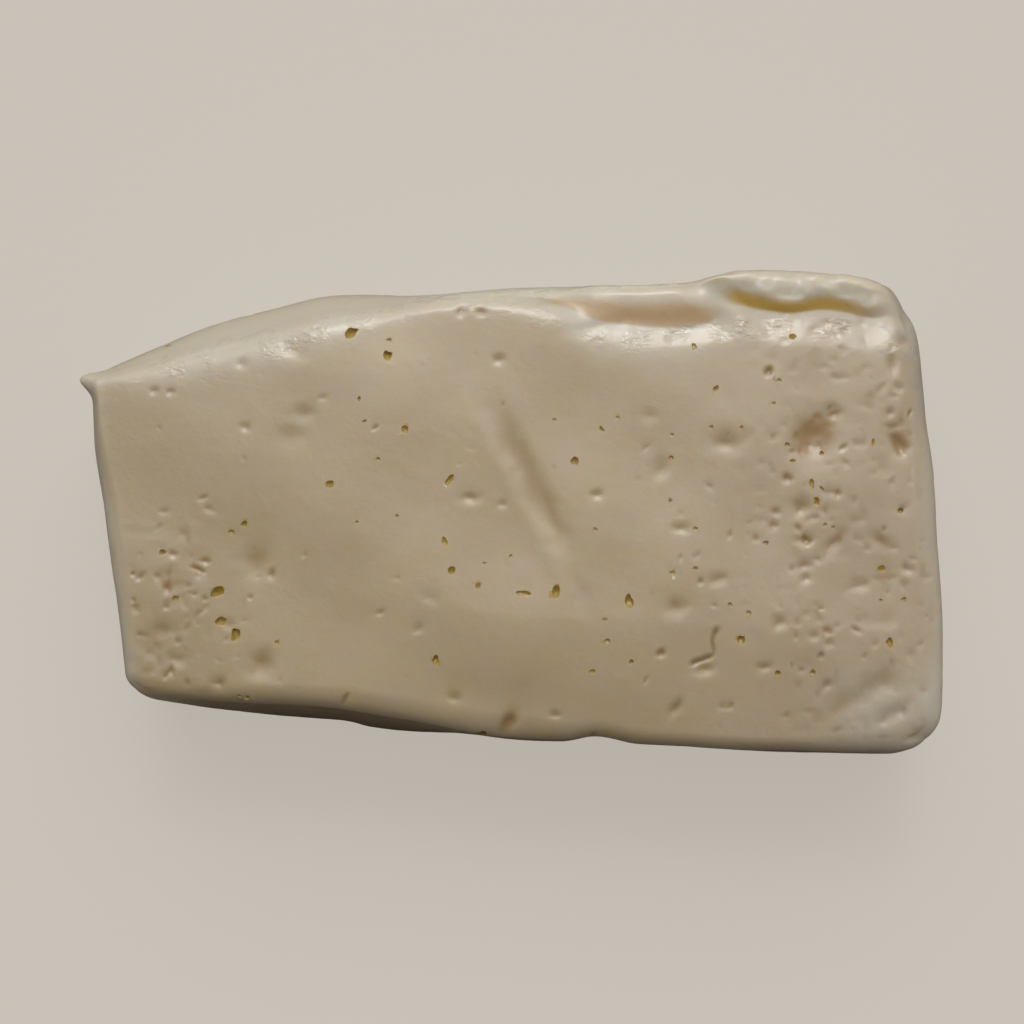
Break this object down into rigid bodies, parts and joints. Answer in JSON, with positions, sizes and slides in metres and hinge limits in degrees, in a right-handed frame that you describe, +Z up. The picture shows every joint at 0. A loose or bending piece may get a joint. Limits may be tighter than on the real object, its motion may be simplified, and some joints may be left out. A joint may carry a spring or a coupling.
{
  "type": "block of fresh tomme cheese",
  "caption": "Cut block of soft rindless fresh cheese, wider at one end, with rounded edges, a fold along one long side and small eyes.",
  "frame": {"origin": "centre of the block's bounding box, at the face it rests on", "axes": "+X along the block towards its wide end, +Y across it towards the folded long side, +Z up through its thickness"},
  "size_m": [0.156, 0.0878, 0.0423],
  "materials": {
    "curd": "moist ivory curd, soft satin gloss, slightly translucent, deeper yellow in the eyes"
  },
  "bodies": {
    "root": {"tomme": "curd"}
  },
  "joints": []
}
